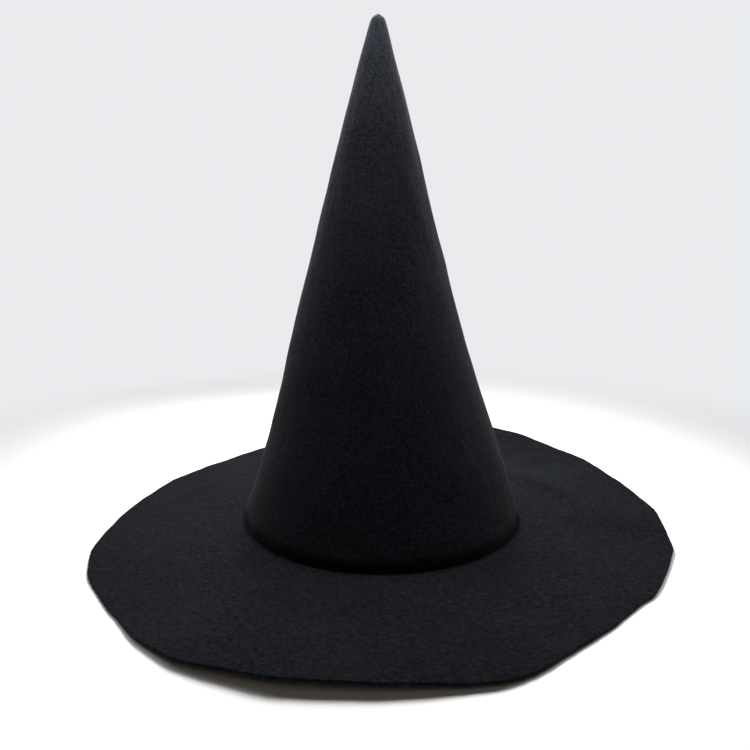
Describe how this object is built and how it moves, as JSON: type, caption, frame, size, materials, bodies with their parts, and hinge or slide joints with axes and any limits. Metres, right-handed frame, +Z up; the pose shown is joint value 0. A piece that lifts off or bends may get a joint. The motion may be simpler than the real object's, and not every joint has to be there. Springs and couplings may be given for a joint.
{
  "type": "witch hat",
  "caption": "Tall pointed cone hat in black felt with a wide, hand-cut, gently waving brim, a rolled foot, a sewn back seam and a ribbed inner band.",
  "frame": {"origin": "on the table under the tip: the axis of the crown meets the plane that the brim stands on", "axes": "+Z up along the crown towards the tip, -Y towards the front, +Y towards the back seam, +X to the right seen from the front"},
  "size_m": [0.3973, 0.4182, 0.351],
  "materials": {
    "felt": "black non-woven felt, matt and slightly fuzzy",
    "band_tape": "black ribbed tape",
    "label_satin": "white satin, blank",
    "thread": "black sewing thread"
  },
  "bodies": {
    "root": {"crown": "felt", "brim": "felt", "sweatband": "band_tape", "care_label": "label_satin", "crown_seam_stitching": "thread", "join_stitching": "thread", "band_end_stitching": "thread"}
  },
  "joints": []
}
